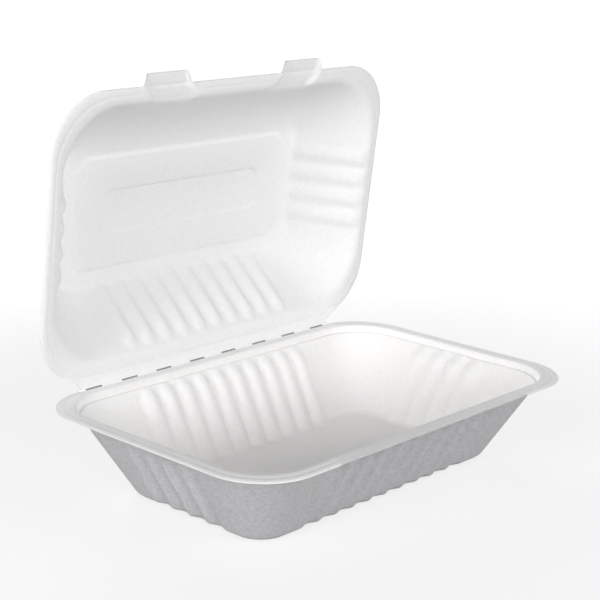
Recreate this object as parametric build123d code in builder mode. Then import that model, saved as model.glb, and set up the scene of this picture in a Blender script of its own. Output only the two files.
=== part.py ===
from build123d import *
import os
from math import cos, radians, sin, tan

# Hinged food box of moulded fibre: a fluted tray and a fluted lid that share one creased strip.
# Millimetres, +Z up. The origin is the centre of the tray's underside, +X runs along the hinge
# and +Y points from the front edge to the hinge. The lid stands open.

# Tray
rim_length = 230.0
rim_width = 152.0
rim_corner_radius = 29.0
tray_depth = 43.0
tray_thickness = 0.8
tray_flange_width = 8.0
tray_lip_depth = 2.5
tray_band_depth = 3.5
tray_wall_draft = 31.0
tray_edge_radius = 1.2
tray_flute_start = 0.5
front_catch_length = 132.0

# Lid
lid_side_setback = 3.0
lid_front_setback = 4.6
lid_depth = 33.5
lid_thickness = 0.7
lid_flange_width = 7.0
lid_lip_depth = 1.2
lid_wall_draft = 37.5
lid_edge_radius = 4.0
lid_flute_start = 4.0
lid_open_angle = 83.0

# Walls of both halves: drafts are from the upright, and the tray has a steep band above its wall
band_draft = 8.0
opening_corner_radius = 33.0
corner_taper_share = 0.8
floor_edge_radius = 5.0

# Flutes that stiffen the walls, tilted into the wall so that they fade towards the floor
flute_pitch = 11.6
flute_gap = 1.2
flute_depth = 3.0
flute_tilt = 2.5
long_wall_flutes = 10
short_wall_flutes = 4

# Hinge strip between lid and tray, with its row of slits
hinge_setback = 1.9
strip_width = 5.0
strip_length = 180.0
strip_notch_radius = 4.0
slit_pitch = 22.5
slit_length = 10.0
slit_width = 0.6
crease_round_share = 0.45
hinge_clearance = 0.15

# Latch tabs on the lid's front edge
tab_spacing = 91.5
tab_root_width = 31.5
tab_tip_width = 24.5
tab_length = 6.3
tab_rise = 2.0
tab_tip_radius = 2.0
tab_crease_width = 0.8
tab_crease_depth = 0.3

# Stepped panel in the lid's ceiling
panel_inset = 41.0
panel_radius = 9.0
inner_panel_inset = 59.0
inner_panel_radius = 4.0
panel_step = 0.8

# How far cutting bodies run past what they cut
overrun = 1.0

lid_length = rim_length - 2 * lid_side_setback
lid_width = rim_width - hinge_setback - strip_width - lid_front_setback
lid_centre = strip_width + lid_width / 2
hinge_height = tray_depth + hinge_clearance + lid_thickness / 2
flute_half_width = (flute_pitch - flute_gap) / 2
flute_radius = (flute_half_width**2 + flute_depth**2) / (2 * flute_depth)

# The mating plane of each half: its flange's inner face, with the local +Z towards the floor.
tray_plane = Plane(origin=(0, 0, tray_depth), x_dir=(1, 0, 0), z_dir=(0, 0, -1))
hinge_plane = Plane(
    origin=(0, rim_width / 2 - hinge_setback, hinge_height),
    x_dir=(1, 0, 0),
    z_dir=(0, sin(radians(lid_open_angle)), cos(radians(lid_open_angle))),
)
lid_plane = Plane(
    origin=hinge_plane.from_local_coords((0, -lid_centre, -lid_thickness / 2)),
    x_dir=hinge_plane.x_dir,
    z_dir=hinge_plane.z_dir,
)


def wall_insets(form, start, depth, skin):
    """Depth below the mating plane and inset from the flange's edge at each kink of a wall.

    The inner wall has a skin of 0, and the outer one lies skin outside it.
    """
    band, wall = radians(band_draft), radians(form["draft"])
    foot, top = form["band"], form["flange"]
    foot_inset = top + foot * tan(band)

    def on_wall(below):
        return below, foot_inset + (below - foot) * tan(wall) - skin / cos(wall)

    if foot == 0:
        return [on_wall(start), on_wall(depth)]
    mitre = skin * (1 / cos(band) - 1 / cos(wall)) / (tan(band) - tan(wall))
    return [(start, top + start * tan(band) - skin / cos(band)), on_wall(foot + mitre), on_wall(depth)]


def flute_planes(form, plane, sides):
    """Where each flute starts under the flange, with the local +Z along the flute to the floor."""
    slope = radians(form["draft"])
    lean = radians(form["draft"] - flute_tilt)
    foot_inset = form["flange"] + form["band"] * tan(radians(band_draft))
    planes = []
    for side in sides:
        along = Vector(1, 0, 0).rotate(Axis.Z, 90 * side)
        inwards = Vector(0, 1, 0).rotate(Axis.Z, 90 * side)
        down = inwards * sin(slope) + Vector(0, 0, cos(slope))
        off_wall = inwards * cos(slope) - Vector(0, 0, sin(slope))
        course = inwards * sin(lean) + Vector(0, 0, cos(lean))
        half_span = (form["length"] if side % 2 else form["width"]) / 2
        head = inwards * (foot_inset - half_span) + Vector(0, 0, form["band"])
        head += down * (flute_half_width + form["flute_start"])
        head -= off_wall * (flute_radius - flute_depth)
        count = short_wall_flutes if side % 2 else long_wall_flutes
        for place in range(count):
            start = head + along * flute_pitch * (place - (count - 1) / 2)
            origin = plane.from_local_coords(start)
            planes.append(Plane(origin=origin, z_dir=plane.from_local_coords(start + course) - origin))
    return planes


def fluted_block(form, plane, start, depth, skin, sides):
    """A tapering block with rounded corners and a round groove for each flute."""
    with BuildPart() as bar:
        reach = flute_radius - skin
        with BuildSketch(Plane.XZ):
            with BuildLine():
                Polyline((0, 2 * depth), (reach, 2 * depth), (reach, 0))
                RadiusArc((reach, 0), (0, -reach), reach)
                Line((0, -reach), (0, 2 * depth))
            make_face()
        revolve(axis=Axis.Z)
    with BuildPart() as block:
        for below, inset in wall_insets(form, start, depth, skin):
            with BuildSketch(plane.offset(below)):
                radius = opening_corner_radius - corner_taper_share * (inset - form["flange"])
                RectangleRounded(form["length"] - 2 * inset, form["width"] - 2 * inset, radius)
        loft(ruled=True)
        floor = block.faces().sort_by(Axis(plane.origin, plane.z_dir))[-1]
        fillet(floor.edges(), floor_edge_radius + skin)
        with Locations(flute_planes(form, plane, sides)):
            add(bar.part, mode=Mode.SUBTRACT)
    return block.part


# Tray
every_side = (0, 1, 2, 3)
tray_form = {
    "length": rim_length,
    "width": rim_width,
    "flange": tray_flange_width,
    "band": tray_band_depth,
    "draft": tray_wall_draft,
    "flute_start": tray_flute_start,
}
tray_wall = fluted_block(tray_form, tray_plane, tray_thickness / 2, tray_depth, tray_thickness, every_side)
tray_cavity = fluted_block(tray_form, tray_plane, -overrun, tray_depth - tray_thickness, 0, every_side)

with BuildPart() as tray:
    # The flange ends on the crease, a little short of the corners behind it.
    with BuildSketch(Plane.XY.offset(tray_depth - tray_thickness)):
        RectangleRounded(rim_length, rim_width, rim_corner_radius)
        with Locations((0, rim_width / 2)):
            Rectangle(strip_length, 2 * hinge_setback, mode=Mode.SUBTRACT)
    extrude(amount=tray_thickness)

    # The lip turns down round the rim, but not along the hinge or where the tabs catch.
    with BuildSketch(Plane.XY.offset(tray_depth - tray_lip_depth)):
        RectangleRounded(rim_length, rim_width, rim_corner_radius)
        offset(amount=-tray_thickness, mode=Mode.SUBTRACT)
        with Locations((0, rim_width / 2)):
            Rectangle(strip_length, rim_corner_radius, mode=Mode.SUBTRACT)
        with Locations((0, -rim_width / 2)):
            Rectangle(front_catch_length, rim_corner_radius, mode=Mode.SUBTRACT)
    extrude(amount=tray_lip_depth)

    add(tray_wall)
    add(tray_cavity, mode=Mode.SUBTRACT)
    flange_face = tray.faces().filter_by(Plane.XY).sort_by(Axis.Z)[-1]
    fillet(flange_face.inner_wires()[0].edges(), tray_edge_radius)
tray.part.label = "base_tray"

# Lid, with its front wall plain
lid_sides = (1, 2, 3)
lid_form = {
    "length": lid_length,
    "width": lid_width,
    "flange": lid_flange_width,
    "band": 0,
    "draft": lid_wall_draft,
    "flute_start": lid_flute_start,
}
lid_wall = fluted_block(lid_form, lid_plane, lid_thickness / 2, lid_depth, lid_thickness, lid_sides)
lid_cavity = fluted_block(lid_form, lid_plane, -overrun, lid_depth - lid_thickness, 0, lid_sides)
lid_axis = Axis(lid_plane.origin, lid_plane.z_dir)
tab_places = [(-tab_spacing / 2, -lid_width / 2), (tab_spacing / 2, -lid_width / 2)]


def tab_outline(inset, inner_end, tip_overrun):
    """A tab in plan: straight through the flange, then narrowing to its tip."""
    root = tab_root_width / 2 - inset
    narrowing = (tab_root_width - tab_tip_width) / 2 / tab_length
    tip_reach = tab_length + tip_overrun
    tip = root - narrowing * tip_reach
    return [
        (-root, inner_end),
        (root, inner_end),
        (root, 0),
        (tip, -tip_reach),
        (-tip, -tip_reach),
        (-root, 0),
    ]


def panel_frame(inset):
    """The frame between the two panels' outlines, narrowed by inset on both sides."""
    with BuildSketch() as frame:
        for panel, radius, step, mode in (
            (panel_inset, panel_radius, inset, Mode.ADD),
            (inner_panel_inset, inner_panel_radius, -inset, Mode.SUBTRACT),
        ):
            margin = 2 * (panel + step)
            RectangleRounded(lid_length - margin, lid_width - margin, radius - step, mode=mode)
    return frame.sketch


with BuildPart() as lid:
    # The flange and the hinge strip are one sheet, which ends in a round edge on the crease.
    with BuildSketch(lid_plane) as sheet:
        RectangleRounded(lid_length, lid_width, rim_corner_radius)
        with Locations((0, lid_centre + lid_thickness / 2)):
            Rectangle(strip_length, strip_width + rim_corner_radius, align=(Align.CENTER, Align.MAX))
        strip_corners = sheet.vertices().sort_by(lambda corner: abs(abs(corner.X) - strip_length / 2))[:4]
        fillet(strip_corners.sort_by(Axis.Y)[:2], strip_notch_radius)
    extrude(amount=lid_thickness)
    crease_edges = lid.edges().filter_by(Axis.X).sort_by(Axis(hinge_plane.origin, hinge_plane.y_dir))[-2:]
    fillet(crease_edges, crease_round_share * lid_thickness)

    # The lip turns away from the tray, but not along the hinge or at the tabs.
    with BuildSketch(lid_plane):
        RectangleRounded(lid_length, lid_width, rim_corner_radius)
        offset(amount=-lid_thickness, mode=Mode.SUBTRACT)
        with Locations((0, lid_width / 2)):
            Rectangle(strip_length, rim_corner_radius, mode=Mode.SUBTRACT)
        with Locations(tab_places):
            Rectangle(tab_root_width, rim_corner_radius, mode=Mode.SUBTRACT)
    extrude(amount=lid_lip_depth)

    # The flange rolls over into the wall, the same sheet all the way.
    add(lid_wall)
    back_face = lid.faces().filter_by(lid_plane).filter_by(lambda face: len(face.inner_wires()) > 0)
    fillet(back_face.sort_by(lid_axis)[-1].inner_wires()[0].edges(), lid_edge_radius - lid_thickness)

    # Each tab lies a step above the flange, in a channel that opens into the lid.
    channel_end = lid_flange_width + (tab_rise + lid_thickness) * tan(radians(lid_wall_draft))
    with BuildSketch(lid_plane) as tabs:
        with Locations(tab_places):
            Polygon(*tab_outline(0, channel_end, 0), align=None)
        fillet(tabs.vertices().sort_by(Axis.Y)[:4], tab_tip_radius)
    extrude(amount=tab_rise + lid_thickness)
    add(lid_cavity, mode=Mode.SUBTRACT)
    mating_face = lid.faces().filter_by(lid_plane).sort_by(lid_axis)[0]
    fillet(mating_face.inner_wires()[0].edges(), lid_edge_radius)
    with BuildSketch(lid_plane.offset(-overrun)):
        with Locations(tab_places):
            Polygon(*tab_outline(lid_thickness, channel_end, overrun), align=None)
    extrude(amount=overrun + tab_rise, mode=Mode.SUBTRACT)
    with BuildSketch(lid_plane.offset(tab_rise)):
        with Locations(tab_places):
            Rectangle(tab_root_width - 2 * lid_thickness, tab_crease_width)
    extrude(amount=tab_crease_depth, mode=Mode.SUBTRACT)

    # The ceiling steps towards the tray in a frame between two rounded rectangles.
    with BuildSketch(lid_plane.offset(lid_depth - lid_thickness - panel_step)):
        add(panel_frame(0))
    extrude(amount=panel_step + lid_thickness / 2)
    with BuildSketch(lid_plane.offset(lid_depth - panel_step)):
        add(panel_frame(lid_thickness))
    extrude(amount=panel_step + overrun, mode=Mode.SUBTRACT)

    # Slits along the crease leave the bridges that the lid folds on.
    with BuildSketch(lid_plane.offset(-overrun)):
        with Locations((0, lid_centre)):
            with GridLocations(slit_pitch, slit_pitch, int(strip_length / slit_pitch), 1):
                Rectangle(slit_length, 2 * slit_width)
    extrude(amount=lid_thickness + 2 * overrun, mode=Mode.SUBTRACT)
lid.part.label = "lid"

os.makedirs("parts", exist_ok=True)
export_step(tray.part, "parts/base_tray.step")
export_step(lid.part, "parts/lid.step")
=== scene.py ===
from math import cos, pi, radians, sin, tan

import bpy
from mathutils import Matrix, Vector


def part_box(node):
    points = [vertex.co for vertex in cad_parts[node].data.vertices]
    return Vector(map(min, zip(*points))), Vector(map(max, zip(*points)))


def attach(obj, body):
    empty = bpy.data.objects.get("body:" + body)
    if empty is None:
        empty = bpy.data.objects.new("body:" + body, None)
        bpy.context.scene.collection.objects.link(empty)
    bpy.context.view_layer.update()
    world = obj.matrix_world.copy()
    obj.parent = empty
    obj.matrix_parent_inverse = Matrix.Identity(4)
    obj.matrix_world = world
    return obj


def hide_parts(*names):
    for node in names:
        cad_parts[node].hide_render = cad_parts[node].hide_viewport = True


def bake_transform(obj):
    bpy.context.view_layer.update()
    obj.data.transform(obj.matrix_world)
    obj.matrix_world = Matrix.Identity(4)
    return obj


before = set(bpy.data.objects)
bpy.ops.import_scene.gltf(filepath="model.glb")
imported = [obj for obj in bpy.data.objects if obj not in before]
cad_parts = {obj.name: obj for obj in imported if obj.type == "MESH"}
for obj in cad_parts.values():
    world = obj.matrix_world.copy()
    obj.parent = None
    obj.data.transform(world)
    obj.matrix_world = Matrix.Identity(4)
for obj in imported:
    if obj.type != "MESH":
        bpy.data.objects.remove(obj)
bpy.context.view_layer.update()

# A hinged food box of pressed plant fibre. Each half is one pressed sheet: its section is drawn as a
# curve, carried round a rounded rectangle, fluted and lipped in Geometry Nodes, then thickened.
# The scene is in metres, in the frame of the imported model.

MM = 0.001
SHARP_ANGLE = radians(50)
MERGE_DISTANCE = 0.02 * MM
# Just under 1, to tell a column on a straight side from one on a corner
NEARLY_ONE = 0.9999


# Node trees

class Wire:
    """A value that runs through a node tree, so that a formula reads as plain arithmetic."""

    def __init__(self, tree, socket):
        self.tree = tree
        self.socket = socket

    def maths(self, operation, *others):
        return maths(self.tree, operation, self, *others)

    def __add__(self, other):
        return self.maths("ADD", other)

    def __radd__(self, other):
        return self.maths("ADD", other)

    def __sub__(self, other):
        return self.maths("SUBTRACT", other)

    def __rsub__(self, other):
        return maths(self.tree, "SUBTRACT", other, self)

    def __mul__(self, other):
        return self.maths("MULTIPLY", other)

    def __rmul__(self, other):
        return self.maths("MULTIPLY", other)

    def __truediv__(self, other):
        return self.maths("DIVIDE", other)

    def __rtruediv__(self, other):
        return maths(self.tree, "DIVIDE", other, self)

    def __gt__(self, other):
        return self.maths("GREATER_THAN", other)

    def __lt__(self, other):
        return self.maths("LESS_THAN", other)

    def __abs__(self):
        return self.maths("ABSOLUTE")


def plug(tree, value, socket):
    """Links a wire to a socket, or sets the socket to a plain value."""
    if isinstance(value, Wire):
        tree.links.new(value.socket, socket)
    else:
        socket.default_value = value


def maths(tree, operation, *values):
    node = tree.nodes.new("ShaderNodeMath")
    node.operation = operation
    for value, socket in zip(values, node.inputs):
        plug(tree, value, socket)
    return Wire(tree, node.outputs[0])


def clamp(value):
    return value.maths("MAXIMUM", 0.0).maths("MINIMUM", 1.0)


def mix(first, second, share):
    return first + (second - first) * share


def ramp(value, low, high):
    """0 below low, 1 above high and a soft step between them."""
    node = value.tree.nodes.new("ShaderNodeMapRange")
    node.interpolation_type = "SMOOTHSTEP"
    for name, wire in (("Value", value), ("From Min", low), ("From Max", high)):
        plug(value.tree, wire, node.inputs[name])
    return Wire(value.tree, node.outputs["Result"])


def add_node(tree, kind, inputs=(), **settings):
    node = tree.nodes.new(kind)
    for name, value in settings.items():
        setattr(node, name, value)
    for name, value in dict(inputs).items():
        plug(tree, value, node.inputs[name])
    return node


def position(tree):
    return Wire(tree, tree.nodes.new("GeometryNodeInputPosition").outputs[0])


def geometry_tree(name, sizes, counts=(), objects=()):
    """A tree with a named input for each size, count and object, and one for the material."""
    tree = bpy.data.node_groups.new(name, "GeometryNodeTree")
    tree.interface.new_socket("Geometry", in_out="OUTPUT", socket_type="NodeSocketGeometry")
    inputs = {"Float": sizes, "Int": counts, "Object": objects, "Material": ("Material",)}
    for kind, labels in inputs.items():
        for label in labels:
            tree.interface.new_socket(label, in_out="INPUT", socket_type="NodeSocket" + kind)
    entry = tree.nodes.new("NodeGroupInput")
    return tree, {socket.name: Wire(tree, socket) for socket in entry.outputs if socket.name}


def end_tree(tree, geometry, material):
    realized = add_node(tree, "GeometryNodeRealizeInstances", {"Geometry": geometry})
    painted = add_node(
        tree,
        "GeometryNodeSetMaterial",
        {"Geometry": Wire(tree, realized.outputs["Geometry"]), "Material": material},
    )
    exit_node = tree.nodes.new("NodeGroupOutput")
    tree.links.new(painted.outputs["Geometry"], exit_node.inputs["Geometry"])


def made_by(tree, name, values, place, thickness, inside=None):
    """Runs a tree with these values, thickens its sheet inwards and puts the plain mesh in its place.

    The sheet's inner side takes the finish called inside, if one is given.
    """
    maker = bpy.data.objects.new(name + "_maker", bpy.data.meshes.new(name + "_maker"))
    bpy.context.scene.collection.objects.link(maker)
    shaper = maker.modifiers.new("Shape", "NODES")
    shaper.node_group = tree
    for socket in tree.interface.items_tree:
        if socket.in_out == "INPUT":
            shaper[socket.identifier] = values[socket.name]
    wall = maker.modifiers.new("Wall", "SOLIDIFY")
    wall.thickness = thickness
    wall.offset = 1.0
    wall.use_even_offset = True
    wall.use_quality_normals = True
    if inside:
        for finish in (None, values["Material"], inside):
            maker.data.materials.append(finish)
        wall.material_offset = 1
    bpy.context.view_layer.update()
    finished = maker.evaluated_get(bpy.context.evaluated_depsgraph_get())
    mesh = bpy.data.meshes.new_from_object(finished)
    bpy.data.objects.remove(maker)
    mesh.name = name
    if inside:
        mesh.materials.append(inside)
    mesh.materials.pop(index=0)
    mesh.transform(place)
    if place.determinant() < 0:
        mesh.flip_normals()
    for face in mesh.polygons:
        face.use_smooth = True
    mesh.set_sharp_from_angle(angle=SHARP_ANGLE)
    piece = bpy.data.objects.new(name, mesh)
    bpy.context.scene.collection.objects.link(piece)
    return piece


# The pressed sheet

HALF_SIZES = (
    "Length", "Width", "Rim radius", "Opening radius", "Flange",
    "Corner taper", "Floor corner", "Corner share",
    "Lip inset", "Lip gap front", "Lip gap back", "Lip run-out", "Groove depth", "Hinge setback",
    "Depth", "Cove", "Cove reach", "Cove place", "Cove slope",
    "Flute pitch", "Flute depth", "Flute edge", "Flute lean",
    "Flute start", "Side flute start", "Flute head", "Front flutes",
    "Tabs", "Tab spacing", "Tab root", "Tab tip", "Tab length", "Tab rise", "Tab side", "Tab blend",
    "Strip", "Strip length", "Strip reach", "Neck radius", "Score depth",
)
HALF_COUNTS = (
    "Rows", "Lip rows", "Short stations", "Corner stations", "Long stations",
    "Flutes along", "Flutes across",
)

# On the lip laid flat, 0 is its edge and 1 the flange. Tabs and strip fold at the score.
SCORE_SHARE, SCORE_HALF_SHARE, SCORE_EDGE_SHARE = 0.76, 0.01, 0.03
LIP_SHARES = (0.0, 0.2, 0.4, 0.6, SCORE_SHARE, 0.88, 1.0)
# The groove's middle, half its flat bottom and its outer edge, as shares of the lip's inset
GROOVE_SHARE, GROOVE_FLAT_SHARE, GROOVE_EDGE_SHARE = 1.35, 0.05, 0.3
# Past this share of the cove's reach, what rises from the floor is carried by the cove
COVE_CARRY_SHARE = 1 / 3


def pressed_half_tree():
    """Carries a section round a rounded rectangle, with flutes, lip, tabs and hinge strip.

    Along the section, x is the inset from the rim, y the run down the wall and z the depth below the
    mating plane. The points' radius is the share of the flutes that they take. On the lip's rows y is
    the lip laid flat, from 0 at its edge to 1 at the flange.
    """
    tree, size = geometry_tree("Pressed half", HALF_SIZES, HALF_COUNTS, ("Section",))
    stations = size["Short stations"] + size["Corner stations"] + size["Long stations"]
    grid = add_node(
        tree,
        "GeometryNodeMeshGrid",
        {"Size X": 1.0, "Size Y": 1.0, "Vertices X": stations * 4 + 1, "Vertices Y": size["Rows"]},
    )
    start = add_node(tree, "ShaderNodeSeparateXYZ", {0: position(tree)})
    around = (Wire(tree, start.outputs["X"]) + 0.5) * 4
    row = ((Wire(tree, start.outputs["Y"]) + 0.5) * (size["Rows"] - 1)).maths("ROUND")

    # The section's point for this row
    section = add_node(tree, "GeometryNodeObjectInfo", {"Object": size["Section"]})
    section = Wire(tree, section.outputs["Geometry"])

    def on_section(kind, value):
        node = add_node(tree, "GeometryNodeSampleIndex", data_type=kind, domain="POINT")
        plug(tree, section, node.inputs["Geometry"])
        plug(tree, value, node.inputs["Value"])
        plug(tree, row, node.inputs["Index"])
        return Wire(tree, node.outputs["Value"])

    point = add_node(tree, "ShaderNodeSeparateXYZ", {0: on_section("FLOAT_VECTOR", position(tree))})
    inset, run, depth = (Wire(tree, point.outputs[axis]) for axis in "XYZ")
    flute_share = on_section("FLOAT", Wire(tree, tree.nodes.new("GeometryNodeInputRadius").outputs[0]))
    on_lip = row < size["Lip rows"] - 0.5
    lip_flat = run * on_lip

    # The column: which quarter it is in, and where it is on the short side, corner and long side
    quarter = around.maths("MINIMUM", 4 * NEARLY_ONE).maths("FLOOR")
    within = around - quarter
    odd = quarter.maths("MODULO", 2.0)
    station = mix(within, 1 - within, odd) * stations
    right = abs(quarter - 1.5) * 2 - 2
    front = quarter > 1.5
    back = 1 - front
    up_side = 1 - front * 2
    on_short = clamp(station / size["Short stations"])
    turn = clamp((station - size["Short stations"]) / size["Corner stations"]) * (pi / 2)
    on_long = clamp((stations - station) / size["Long stations"])
    turn_cos = turn.maths("COSINE")
    turn_sin = turn.maths("SINE")
    long_side = on_long < NEARLY_ONE
    short_side = on_short < NEARLY_ONE

    # Where the column meets the rim decides what the rim carries there
    rim_x = on_long * (size["Length"] / 2 - size["Rim radius"]) + size["Rim radius"] * turn_cos
    off_tab = abs(rim_x - size["Tab spacing"] / 2)
    tab_half = size["Tab root"] / 2
    on_front = front * long_side * size["Tabs"]
    tab_reach = (1 - ramp(off_tab, size["Tab tip"] / 2, tab_half)) * on_front
    foot = clamp(inset / size["Flange"])
    tab_side = size["Tab side"]
    tab_lift = (1 - ramp(off_tab, tab_half - tab_side, tab_half + foot * tab_side)) * on_front
    strip_half = size["Strip length"] / 2
    strip_over = (rim_x - strip_half) / size["Neck radius"]
    neck = clamp(strip_over)
    neck_share = (1 - (1 - neck) * (1 - neck)).maths("SQRT")
    strip = (strip_over < 1.0) * back * size["Strip"]
    lip_gap = mix(size["Lip gap back"], size["Lip gap front"], front)
    lip = ramp(rim_x, lip_gap, lip_gap + size["Lip run-out"])
    tab_clear = ramp(off_tab, tab_half, tab_half + size["Lip run-out"])
    lip = lip * (1 - (1 - tab_clear) * front * size["Tabs"])

    # The flange has a shallow groove beside its lip
    off_groove = abs(inset / size["Lip inset"] - GROOVE_SHARE)
    groove = 1 - ramp(off_groove, GROOVE_FLAT_SHARE, GROOVE_EDGE_SHARE)
    depth = depth + groove * (1 - on_lip) * lip * size["Groove depth"]

    # The front wall runs into the floor in a wide cove, a parabola
    place, reach = size["Cove place"], size["Cove reach"]
    cove_left = (place + reach - inset).maths("MAXIMUM", 0.0)
    cove = size["Depth"] - cove_left * cove_left * size["Cove slope"] / (4 * reach)
    raised = (size["Depth"] - depth) * (inset > place + reach * COVE_CARRY_SHARE)
    on_cove = (inset > place - reach) * front * turn_sin * turn_sin * size["Cove"]
    depth = mix(depth, (depth + raised).maths("MINIMUM", cove) - raised, on_cove)

    # Inset of this point once the lip is turned down, laid flat or drawn out
    lip_inset = mix(lip_flat * size["Lip inset"], inset, lip)
    lip_inset = mix(lip_inset, size["Lip inset"], strip * (1 - neck_share))
    inset = mix(inset, lip_inset, on_lip)
    depth = depth * (1 - on_lip * (1 - lip))

    # The rounded rectangle at that inset
    half_length = size["Length"] / 2 - inset
    half_width = size["Width"] / 2 - inset
    rim_round = mix(size["Rim radius"], size["Opening radius"], clamp(inset / size["Flange"]))
    wall_round = rim_round - size["Corner taper"] * (inset - size["Flange"]).maths("MAXIMUM", 0.0)
    floor_round = size["Floor corner"] + half_width * size["Corner share"]
    corner = wall_round.maths("MAXIMUM", floor_round.maths("MINIMUM", half_width))
    x = on_long * (half_length - corner) + corner * turn_cos
    y = on_short * (half_width - corner) + corner * turn_sin

    # Flutes: round-headed waves pressed into the straight walls
    pitch = size["Flute pitch"]
    along = mix(y, x, long_side)
    count = mix(size["Flutes across"], size["Flutes along"], long_side)
    cell = along / pitch + count / 2
    across = (cell.maths("FRACT") - 0.5) * 2
    inside = along < count * pitch / 2
    flute_start = mix(size["Side flute start"], size["Flute start"], long_side)
    head = 1 - clamp((run - flute_start) / size["Flute head"])
    away = (across * across + head * head).maths("SQRT")
    wave = (away.maths("MINIMUM", 1.0) * pi).maths("COSINE") * 0.5 + 0.5
    wave = wave.maths("POWER", size["Flute edge"]) * inside * long_side.maths("MAXIMUM", short_side)
    wave = wave * (1 - long_side * front * (1 - size["Front flutes"])) * flute_share
    push = wave * size["Flute depth"] * size["Flute lean"]
    x = x - push * turn_cos
    y = y - push * turn_sin

    # Along the hinge the tray's flange stops short, and the lid's strip runs out to the crease
    outwards = (1 - lip_flat) * on_lip
    on_hinge = back * (1 - ramp(rim_x, strip_half, strip_half + size["Lip run-out"]))
    y = y - on_hinge * size["Hinge setback"] * clamp(1 - inset / size["Flange"])
    y = y + strip * outwards * (size["Strip reach"] - y) * (1 - neck_share)

    # Tabs rise off the flange, reach out past it and fold at a scored line
    y = y + tab_reach * outwards * size["Tab length"]
    on_score = 1 - ramp(abs(lip_flat - SCORE_SHARE), SCORE_HALF_SHARE, SCORE_EDGE_SHARE)
    score = on_score * on_lip * size["Score depth"]
    depth = depth + score * strip.maths("MAXIMUM", tab_reach)
    rise = size["Tab rise"] * (1 + foot * foot) + score
    depth = mix(depth, depth.maths("SMOOTH_MAX", rise, size["Tab blend"]), tab_lift)

    moved = add_node(tree, "ShaderNodeCombineXYZ", {"X": x * right, "Y": y * up_side, "Z": depth})
    shaped = add_node(
        tree,
        "GeometryNodeSetPosition",
        {"Geometry": Wire(tree, grid.outputs["Mesh"]), "Position": Wire(tree, moved.outputs[0])},
    )
    joined = add_node(
        tree,
        "GeometryNodeMergeByDistance",
        {"Geometry": Wire(tree, shaped.outputs["Geometry"]), "Distance": MERGE_DISTANCE},
    )
    end_tree(tree, Wire(tree, joined.outputs["Geometry"]), size["Material"])
    return tree


def crease_tree():
    """A narrow strip along the hinge, bent to an arc from tray to lid and open at the slits."""
    sizes = ("Length", "Radius", "First angle", "Last angle", "Slit pitch", "Slit length", "Slit share")
    tree, size = geometry_tree("Creased strip", sizes, ("Stations", "Rows"))
    grid = add_node(
        tree,
        "GeometryNodeMeshGrid",
        {
            "Size X": size["Length"],
            "Size Y": 1.0,
            "Vertices X": size["Stations"],
            "Vertices Y": size["Rows"],
        },
    )
    start = add_node(tree, "ShaderNodeSeparateXYZ", {0: position(tree)})
    x, across = (Wire(tree, start.outputs[axis]) for axis in "XY")
    cell = ((x / size["Slit pitch"] + 0.5).maths("FRACT") - 0.5) * size["Slit pitch"]
    off_slit = abs(abs(cell) - size["Slit pitch"] / 2)
    slit = (off_slit < size["Slit length"] / 2) * (abs(across) < size["Slit share"] / 2)
    opened = add_node(
        tree,
        "GeometryNodeDeleteGeometry",
        {"Geometry": Wire(tree, grid.outputs["Mesh"]), "Selection": slit},
        domain="FACE",
        mode="ALL",
    )
    angle = mix(size["First angle"], size["Last angle"], across + 0.5)
    y = angle.maths("COSINE") * size["Radius"]
    z = angle.maths("SINE") * size["Radius"]
    bent = add_node(tree, "ShaderNodeCombineXYZ", {"X": x, "Y": y, "Z": z})
    shaped = add_node(
        tree,
        "GeometryNodeSetPosition",
        {"Geometry": Wire(tree, opened.outputs["Geometry"]), "Position": Wire(tree, bent.outputs[0])},
    )
    end_tree(tree, Wire(tree, shaped.outputs["Geometry"]), size["Material"])
    return tree


def section_curve(name, points):
    """A section as a curve of (inset, run, depth, flute share) points.

    Inset and depth come in millimetres, run in metres or, on the lip, as a share.
    """
    curve = bpy.data.curves.new(name, "CURVE")
    curve.dimensions = "3D"
    spline = curve.splines.new("POLY")
    spline.points.add(len(points) - 1)
    for point, (inset, run, depth, share) in zip(spline.points, points):
        point.co = (inset * MM, run, depth * MM, 1.0)
        point.radius = share
    drawn = bpy.data.objects.new(name, curve)
    bpy.context.scene.collection.objects.link(drawn)
    return drawn


def lip_points(lip_depth, inset):
    """The lip's rows, rolled from its edge up and over to the flange."""
    rows = []
    for flat in LIP_SHARES:
        roll = (1 - flat) * LIP_ROLL
        rows.append((inset * (1 - sin(roll)), flat, lip_depth * (1 - cos(roll)), 0.0))
    return rows


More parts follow.
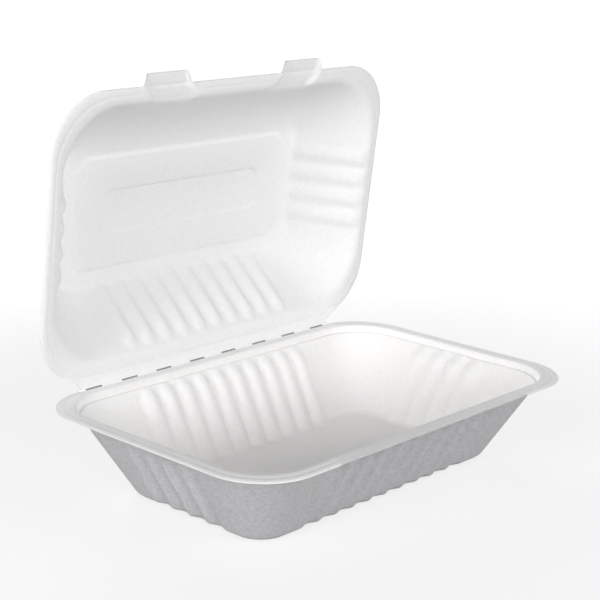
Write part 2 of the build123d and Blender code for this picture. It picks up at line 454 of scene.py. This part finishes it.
def wall_points(flange, band, band_draft, draft, depth, edge_round, floor_round, fade):
    """From the flange's inner edge down the plain band, if any, and the sloped wall to the flat floor.

    The flutes lose depth along the wall until they keep only the share called fade.
    """
    slope = radians(draft)
    rows = []
    turn = radians(90 - (band_draft if band else draft))
    setback = edge_round * tan(turn / 2)
    for step in range(EDGE_STEPS + 1):
        angle = turn * step / EDGE_STEPS
        left_run = setback - edge_round * (turn - angle)
        rows.append((
            flange - setback + edge_round * sin(angle),
            0.0 if band else left_run * MM,
            edge_round * (1 - cos(angle)),
            0.0 if band else 1.0,
        ))
    band_lean = tan(radians(band_draft))
    if band:
        for share in BAND_SHARES:
            rows.append((flange + share * band * band_lean, 0.0, share * band, 0.0))
        rows.append((flange + band * band_lean + LEDGE_SHARE * LEDGE, 0.0, band, 0.0))
    foot = flange + band * band_lean + (LEDGE if band else 0.0)
    wall_turn = pi / 2 - slope
    wall_run = (depth - band) / cos(slope) - floor_round * tan(wall_turn / 2)
    first_run = LEDGE_RUN if band else setback + EDGE_RUN
    for step in range(WALL_STEPS + 1):
        share = (step / WALL_STEPS)**WALL_CROWDING
        run = first_run + (wall_run - first_run) * share
        flutes = 1 - (1 - fade) * share
        rows.append((foot + run * sin(slope), run * MM, band + run * cos(slope), flutes))
    start_inset, start_depth = rows[-1][0], rows[-1][2]
    for step in range(1, ROUND_STEPS + 1):
        angle = wall_turn * step / ROUND_STEPS
        rows.append((
            start_inset + floor_round * (cos(slope) - cos(slope + angle)),
            FLOOR_RUN,
            start_depth + floor_round * (sin(slope + angle) - sin(slope)),
            fade,
        ))
    floor_inset = rows[-1][0]
    for step, share in FLOOR_RUN_OUT:
        rows.append((floor_inset + step, FLOOR_RUN, depth, share * fade))
    return rows


# Sizes of the two halves, in millimetres

tray_low, tray_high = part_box("base_tray")
BOX_CLEARANCE = 0.4
LENGTH = (tray_high[0] - tray_low[0]) / MM - BOX_CLEARANCE
WIDTH = -2 * tray_low[1] / MM - BOX_CLEARANCE
TRAY_DEPTH = tray_high[2] / MM
TRAY_WALL, LID_WALL = 0.8, 0.7
TRAY_FLANGE, LID_FLANGE = 8.0, 7.0
TRAY_DRAFT, LID_DRAFT = 29.6, 37.5
BAND, BAND_DRAFT, LEDGE = 3.5, 8.0, 1.3
TRAY_EDGE, LID_EDGE, FLOOR_ROUND = 1.2, 5.0, 5.0
LID_LENGTH, LID_WIDTH, LID_DEPTH = 224.0, 140.5, 33.5
HINGE_SETBACK, HINGE_HEIGHT = 1.7, 43.5
STRIP_WIDTH, STRIP_LENGTH = 5.0, 180.0
OPEN_ANGLE = radians(83)
TRAY_LIP, LID_LIP = 0.8, 1.0
LIP_INSET, LIP_ROLL = 2.6, radians(102)
PANEL_STEP = 1.7

# Rows of the sections: insets are in millimetres and grow from the lip to the middle
FLANGE_ROWS = (2.75, 3.0, 3.25, 3.5, 3.75, 4.0, 4.3)
TRAY_FLOOR_ROWS = (44.0, 58.0)
EDGE_STEPS, WALL_STEPS, ROUND_STEPS = 6, 17, 7
BAND_SHARES, LEDGE_SHARE = (0.55, 0.8), 0.2
LEDGE_RUN, EDGE_RUN = 0.1, 0.4
WALL_CROWDING = 1.5
# Floor rows lie past the heads of all flutes, so any long run will do for them, in metres
FLOOR_RUN = 1.0
# The flutes' share at the wall's foot, and how far they run on over the floor at which share of it
FLUTE_FADE = 0.45
FLOOR_RUN_OUT = ((1.0, 0.9), (2.8, 0.5), (4.8, 0.1))
# The panel's two steps: the inset of each, up or down, and half its width
PANEL_STEPS = ((41.6, 1, 1.4), (59.3, -1, 0.9))
PANEL_SHARES = (-1.0, -0.6, 0.0, 0.6, 1.0)

COMMON = {
    "Rim radius": 29 * MM, "Floor corner": 4.5 * MM, "Corner share": 0.14,
    "Lip inset": LIP_INSET * MM, "Lip run-out": 3 * MM, "Lip rows": len(LIP_SHARES),
    "Flute pitch": 11.6 * MM, "Flute head": 8 * MM, "Flutes along": 10, "Flutes across": 4,
    "Short stations": 42, "Corner stations": 30,
    "Tab spacing": 91.5 * MM, "Tab root": 29.5 * MM, "Tab tip": 24.0 * MM, "Tab length": 5.6 * MM,
    "Tab rise": 1.2 * MM, "Tab side": 3.5 * MM, "Tab blend": 5 * MM,
    "Strip length": STRIP_LENGTH * MM, "Neck radius": 4 * MM,
}


# Finishes

FIBRE_DEFAULTS = {"Cloud size": 0.0018, "Hair size": 0.0016, "Hair share": 0.5}
NOISE_ROUGHNESS = 0.6
CLOUD_DETAIL, CLOUD_LOW, CLOUD_HIGH = 3.0, 0.3, 0.7
HAIR_DETAIL, HAIR_LOW, HAIR_HIGH = 1.0, 0.56, 0.74
HAIR_TURNS = ((0.3, 0.9, 0.2), (1.1, 0.4, 2.0), (0.8, 2.2, 1.2))
HAIR_STRETCH = (1.0, 1.0, 0.3)
TOOTH_DETAIL, TOOTH_FINENESS, TOOTH_SHARE = 2.0, 2.5, 0.3
BUMP_DISTANCE = 0.0002
# The mix node's colour sockets share their names with other sockets, so they go by number
MIX_FIRST, MIX_SECOND, MIX_RESULT = 6, 7, 2


def fibre_group():
    """Pressed fibre: soft clouding, short felted hairs and a fine tooth."""
    group = bpy.data.node_groups.new("Pressed fibre", "ShaderNodeTree")
    for label, default in FIBRE_DEFAULTS.items():
        socket = group.interface.new_socket(label, in_out="INPUT", socket_type="NodeSocketFloat")
        socket.default_value = default
    for label in ("Clouding", "Height"):
        group.interface.new_socket(label, in_out="OUTPUT", socket_type="NodeSocketFloat")
    entry = group.nodes.new("NodeGroupInput")
    exit_node = group.nodes.new("NodeGroupOutput")
    size = {socket.name: Wire(group, socket) for socket in entry.outputs if socket.name}
    spot = Wire(group, group.nodes.new("ShaderNodeTexCoord").outputs["Object"])

    def noise(scale, detail, vector=spot):
        node = add_node(
            group,
            "ShaderNodeTexNoise",
            {"Vector": vector, "Scale": scale, "Detail": detail, "Roughness": NOISE_ROUGHNESS},
        )
        return Wire(group, node.outputs["Fac"])

    clouds = noise(1 / size["Cloud size"], CLOUD_DETAIL)
    hairs = 0.0
    for turn in HAIR_TURNS:
        turned = add_node(
            group,
            "ShaderNodeMapping",
            {"Vector": spot, "Rotation": turn, "Scale": HAIR_STRETCH},
        )
        strand = noise(1 / size["Hair size"], HAIR_DETAIL, Wire(group, turned.outputs["Vector"]))
        hairs = ramp(strand, HAIR_LOW, HAIR_HIGH) + hairs
    tooth = noise(TOOTH_FINENESS / size["Hair size"], TOOTH_DETAIL)
    height = hairs * size["Hair share"] + tooth * (1 - size["Hair share"])
    clouding = clouds * (1 - TOOTH_SHARE) + tooth * TOOTH_SHARE
    plug(group, ramp(clouding, CLOUD_LOW, CLOUD_HIGH), exit_node.inputs["Clouding"])
    plug(group, height, exit_node.inputs["Height"])
    return group


def fibre_finish(name, pale, deep, cloud_size, hair_size, bump):
    """Matt fibre board that clouds between a pale and a deeper tone."""
    material = bpy.data.materials.new(name)
    material.use_nodes = True
    tree = material.node_tree
    shader = tree.nodes["Principled BSDF"]
    shader.inputs["Roughness"].default_value = 0.82
    shader.inputs["Specular IOR Level"].default_value = 0.25
    grain = add_node(tree, "ShaderNodeGroup", node_tree=FIBRE)
    grain.inputs["Cloud size"].default_value = cloud_size
    grain.inputs["Hair size"].default_value = hair_size
    tone = add_node(
        tree,
        "ShaderNodeMix",
        {"Factor": Wire(tree, grain.outputs["Clouding"])},
        data_type="RGBA",
    )
    tone.inputs[MIX_FIRST].default_value = (*deep, 1.0)
    tone.inputs[MIX_SECOND].default_value = (*pale, 1.0)
    tree.links.new(tone.outputs[MIX_RESULT], shader.inputs["Base Color"])
    relief = add_node(
        tree,
        "ShaderNodeBump",
        {"Strength": bump, "Distance": BUMP_DISTANCE, "Height": Wire(tree, grain.outputs["Height"])},
    )
    tree.links.new(relief.outputs["Normal"], shader.inputs["Normal"])
    return material


FIBRE = fibre_group()
TRAY_FINISH = fibre_finish(
    "tray_fibre_board",
    pale=(0.917, 0.909, 0.904),
    deep=(0.873, 0.865, 0.86),
    cloud_size=0.0018,
    hair_size=0.0016,
    bump=0.25,
)
LID_FINISH = fibre_finish(
    "lid_fibre_board",
    pale=(0.917, 0.915, 0.915),
    deep=(0.873, 0.871, 0.871),
    cloud_size=0.0018,
    hair_size=0.0016,
    bump=0.22,
)
# The outside's darker, greyer tone is partly the rougher felted side and partly painted shade for the
# downward-facing outer walls
FELT_AND_SHADE_FINISH = fibre_finish(
    "felted_outside_and_painted_shade",
    pale=(0.71, 0.71, 0.725),
    deep=(0.57, 0.57, 0.585),
    cloud_size=0.0018,
    hair_size=0.0018,
    bump=0.6,
)


def slit_shade_finish():
    """Painted shade: a dark grey that stands for the shadow seen through a narrow slit."""
    material = bpy.data.materials.new("slit_painted_shade")
    material.use_nodes = True
    shader = material.node_tree.nodes["Principled BSDF"]
    shader.inputs["Base Color"].default_value = (0.26, 0.26, 0.26, 1.0)
    shader.inputs["Roughness"].default_value = 0.9
    shader.inputs["Specular IOR Level"].default_value = 0.1
    return material


SLIT_SHADE_FINISH = slit_shade_finish()


# Tray and lid

HALF = pressed_half_tree()

tray_floor = TRAY_DEPTH - TRAY_WALL
tray_section = lip_points(TRAY_LIP, LIP_INSET)
tray_section += [(inset, 0.0, 0.0, 0.0) for inset in FLANGE_ROWS]
tray_section += wall_points(
    TRAY_FLANGE, BAND, BAND_DRAFT, TRAY_DRAFT, tray_floor, TRAY_EDGE, FLOOR_ROUND, FLUTE_FADE
)
tray_section += [(inset, FLOOR_RUN, tray_floor, 0.0) for inset in (*TRAY_FLOOR_ROWS, WIDTH / 2)]

tray_values = {
    **COMMON, "Section": section_curve("tray_section", tray_section), "Rows": len(tray_section),
    "Length": LENGTH * MM, "Width": WIDTH * MM, "Flange": TRAY_FLANGE * MM,
    "Lip gap front": 66 * MM, "Lip gap back": 90 * MM, "Hinge setback": HINGE_SETBACK * MM,
    "Opening radius": 25 * MM, "Corner taper": 0.5, "Groove depth": 0.22 * MM,
    "Flute depth": 3.2 * MM, "Flute edge": 0.55,
    "Depth": tray_floor * MM, "Cove": 0.0, "Cove reach": 1 * MM, "Cove place": 0.0, "Cove slope": 0.0,
    "Long stations": 86, "Front flutes": 1.0, "Flute start": 0.0, "Side flute start": 0.0,
    "Flute lean": 1 / cos(radians(TRAY_DRAFT)),
    "Tabs": 0.0, "Strip": 0.0, "Strip reach": 0.0, "Score depth": 0.0, "Material": FELT_AND_SHADE_FINISH,
}
tray_place = Matrix.Translation((0, 0, TRAY_DEPTH * MM)) @ Matrix.Diagonal((1, 1, -1, 1))
tray = made_by(HALF, "tray_sheet", tray_values, tray_place, TRAY_WALL * MM, TRAY_FINISH)

lid_ceiling = LID_DEPTH - LID_WALL
lid_lean = tan(radians(LID_DRAFT))
lid_section = lip_points(LID_LIP, LIP_INSET)
lid_section += [(inset, 0.0, 0.0, 0.0) for inset in FLANGE_ROWS]
lid_section += wall_points(
    LID_FLANGE, 0.0, 0.0, LID_DRAFT, lid_ceiling, LID_EDGE, FLOOR_ROUND, FLUTE_FADE
)
for middle, direction, half_slope in PANEL_STEPS:
    for share in PANEL_SHARES:
        rise = PANEL_STEP * (1 + direction * sin(share * pi / 2)) / 2
        lid_section.append((middle + share * half_slope, FLOOR_RUN, lid_ceiling - rise, 0.0))
lid_section.append((LID_WIDTH / 2, FLOOR_RUN, lid_ceiling, 0.0))

lid_values = {
    **COMMON, "Section": section_curve("lid_section", lid_section), "Rows": len(lid_section),
    "Length": LID_LENGTH * MM, "Width": LID_WIDTH * MM, "Flange": LID_FLANGE * MM,
    "Lip gap front": -10 * MM, "Lip gap back": 94 * MM, "Hinge setback": 0.0,
    "Opening radius": 33 * MM, "Corner taper": 0.8, "Groove depth": 0.13 * MM,
    "Flute depth": 2.5 * MM, "Flute edge": 0.85,
    "Depth": lid_ceiling * MM, "Cove": 1.0, "Cove reach": 17 * MM,
    "Cove place": (LID_FLANGE + lid_ceiling * lid_lean) * MM, "Cove slope": 1 / lid_lean,
    "Long stations": 105, "Front flutes": 0.0, "Flute start": 1.5 * MM, "Side flute start": -3.0 * MM,
    "Flute lean": 1 / cos(radians(LID_DRAFT)),
    "Tabs": 1.0, "Strip": 1.0, "Strip reach": (STRIP_WIDTH + LID_WIDTH / 2) * MM,
    "Score depth": 0.6 * MM, "Material": FELT_AND_SHADE_FINISH,
}
swing = Vector((0, cos(OPEN_ANGLE), -sin(OPEN_ANGLE)))
away = Vector((0, sin(OPEN_ANGLE), cos(OPEN_ANGLE)))
crease = Vector((0, (WIDTH / 2 - HINGE_SETBACK) * MM, HINGE_HEIGHT * MM))
lid_middle = crease - swing * (STRIP_WIDTH + LID_WIDTH / 2) * MM - away * LID_WALL / 2 * MM
lid_place = Matrix.Translation(lid_middle) @ Matrix((
    (-1, 0, 0, 0),
    (0, swing.y, away.y, 0),
    (0, swing.z, away.z, 0),
    (0, 0, 0, 1),
))
lid = made_by(HALF, "lid_sheet", lid_values, lid_place, LID_WALL * MM, LID_FINISH)

for values in (tray_values, lid_values):
    bpy.data.objects.remove(values["Section"])


# The crease: a fillet of fibre from the tray's flange to the lid's strip, open at the slits

# The last of these sets how far behind the crease the dark sheet of painted shade lies
CREASE_RADIUS, CREASE_WALL, CREASE_END, SLIT_SHADE_DEPTH = 1.2, 0.12, 2.0, 0.1
face_corner = crease - away * LID_WALL / 2 * MM
face_corner += swing * (face_corner.z - TRAY_DEPTH * MM) / -swing.z
inner_half = OPEN_ANGLE / 2
bisector = Vector((0, -cos(inner_half), sin(inner_half)))
crease_place = Matrix.Translation(face_corner + bisector * CREASE_RADIUS * MM / sin(inner_half))
crease_values = {
    "Length": (STRIP_LENGTH - 2 * CREASE_END) * MM,
    "First angle": -pi / 2, "Last angle": pi / 2 - OPEN_ANGLE,
    "Slit pitch": 22.5 * MM, "Slit length": 10 * MM, "Stations": 717, "Rows": 9,
}
CREASE = crease_tree()
fold = made_by(
    CREASE,
    "hinge_crease",
    {**crease_values, "Radius": CREASE_RADIUS * MM, "Slit share": 0.45, "Material": LID_FINISH},
    crease_place,
    CREASE_WALL * MM,
)
# Painted shade: an unbroken dark sheet just behind the crease, which shows through its slits as their
# shadow
shade_sheet_radius = (CREASE_RADIUS + SLIT_SHADE_DEPTH) * MM
slits = made_by(
    CREASE,
    "hinge_slits",
    {**crease_values, "Radius": shade_sheet_radius, "Slit share": 0.0, "Material": SLIT_SHADE_FINISH},
    crease_place,
    CREASE_WALL * MM,
)
for piece in (fold, slits):
    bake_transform(piece)

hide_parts("base_tray")
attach(tray, "base")
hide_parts("lid")
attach(lid, "lid")


# Floor, light and camera

WHITE = (1.0, 1.0, 1.0, 1.0)
GROUND_REACH = 6.0
GROUND_COLOUR = (0.3, 0.3, 0.3, 1.0)
# The ground's own glow near the box, and the distances between which it fades to plain white
GROUND_GLOW, GLOW_NEAR, GLOW_FAR = 0.72, 0.15, 0.7
SKY_STRENGTH = 0.1
LIGHT_AIM = Vector((0, 0.03, 0.06))
LIGHT_DISTANCE = 1.4
# Each soft box: its name, the direction it stands in, its width and its power
SOFT_BOXES = (
    ("key", (-0.9, -0.15, 0.42), 0.8, 4.6),
    ("low_left", (-0.98, -0.05, 0.17), 0.5, 7.6),
    ("right_fill", (0.25, -0.9, 0.35), 0.8, 7.6),
    ("front_fill", (-0.4, -0.9, 0.18), 0.5, 5.8),
    ("back_fill", (0.4, 0.85, 0.33), 0.9, 9.5),
    ("right_side", (0.97, 0.1, 0.18), 0.5, 3.2),
)
SENSOR_WIDTH, CLIP_START = 36.0, 0.01


def seen_directly(tree):
    """1 for rays that show the backdrop itself, straight, in a gloss or through something clear."""
    path = tree.nodes.new("ShaderNodeLightPath")
    seen = Wire(tree, path.outputs["Is Camera Ray"])
    for name in ("Is Glossy Ray", "Is Transmission Ray"):
        seen = seen.maths("MAXIMUM", Wire(tree, path.outputs[name]))
    return seen


def ground():
    """A plain floor that takes the box's shadow and looks white further off."""
    mesh = bpy.data.meshes.new("ground")
    corners = [(-1, -1), (1, -1), (1, 1), (-1, 1)]
    points = [(x * GROUND_REACH, y * GROUND_REACH, 0) for x, y in corners]
    mesh.from_pydata(points, [], [(0, 1, 2, 3)])
    plane = bpy.data.objects.new("ground", mesh)
    bpy.context.scene.collection.objects.link(plane)
    material = bpy.data.materials.new("pale_ground")
    material.use_nodes = True
    tree = material.node_tree
    tree.nodes.remove(tree.nodes["Principled BSDF"])
    spot = tree.nodes.new("ShaderNodeTexCoord")
    spot = Wire(tree, spot.outputs["Object"])
    distance = add_node(tree, "ShaderNodeVectorMath", {0: spot}, operation="LENGTH")
    far = ramp(Wire(tree, distance.outputs["Value"]), GLOW_NEAR, GLOW_FAR)
    matt = add_node(tree, "ShaderNodeBsdfDiffuse", {"Color": GROUND_COLOUR})
    strength = seen_directly(tree) * mix(GROUND_GLOW, 1.0, far)
    glow = add_node(tree, "ShaderNodeEmission", {"Color": WHITE, "Strength": strength})
    both = tree.nodes.new("ShaderNodeAddShader")
    tree.links.new(matt.outputs[0], both.inputs[0])
    tree.links.new(glow.outputs[0], both.inputs[1])
    tree.links.new(both.outputs[0], tree.nodes["Material Output"].inputs["Surface"])
    mesh.materials.append(material)


def sky():
    """An even, weak light from all round, which shows as plain white."""
    world = bpy.data.worlds.new("studio")
    bpy.context.scene.world = world
    world.use_nodes = True
    tree = world.node_tree
    back = tree.nodes["Background"]
    back.inputs["Color"].default_value = WHITE
    plug(tree, mix(SKY_STRENGTH, 1.0, seen_directly(tree)), back.inputs["Strength"])


def soft_box(name, towards, width, power):
    """A round soft light that stands in the given direction and faces the box."""
    light = bpy.data.lights.new(name, "AREA")
    light.shape = "DISK"
    light.size = width
    light.energy = power
    lamp = bpy.data.objects.new(name, light)
    bpy.context.scene.collection.objects.link(lamp)
    direction = Vector(towards).normalized()
    lamp.location = LIGHT_AIM + direction * LIGHT_DISTANCE
    lamp.rotation_euler = direction.to_track_quat("Z", "Y").to_euler()


def camera(azimuth, elevation, roll, distance, lens, across, upwards):
    """A camera aimed at the rim's middle, turned by roll, then moved across and up in its own plane."""
    back = Vector((sin(azimuth) * cos(elevation), -cos(azimuth) * cos(elevation), sin(elevation)))
    level = Vector((cos(azimuth), sin(azimuth), 0))
    upright = back.cross(level)
    right = level * cos(roll) + upright * sin(roll)
    up = upright * cos(roll) - level * sin(roll)
    place = Vector((0, 0, TRAY_DEPTH * MM)) + right * across + up * upwards + back * distance
    data = bpy.data.cameras.new("camera")
    data.sensor_width = SENSOR_WIDTH
    data.lens = lens
    data.clip_start = CLIP_START
    view = bpy.data.objects.new("camera", data)
    bpy.context.scene.collection.objects.link(view)
    view.matrix_world = Matrix((
        (right.x, up.x, back.x, place.x),
        (right.y, up.y, back.y, place.y),
        (right.z, up.z, back.z, place.z),
        (0, 0, 0, 1),
    ))
    bpy.context.scene.camera = view


ground()
sky()
for box in SOFT_BOXES:
    soft_box(*box)
camera(
    azimuth=-0.8227,
    elevation=0.2592,
    roll=0.0211,
    distance=0.7374,
    lens=91.2,
    across=-0.00842,
    upwards=0.0428,
)
bpy.context.scene.view_settings.view_transform = "Standard"
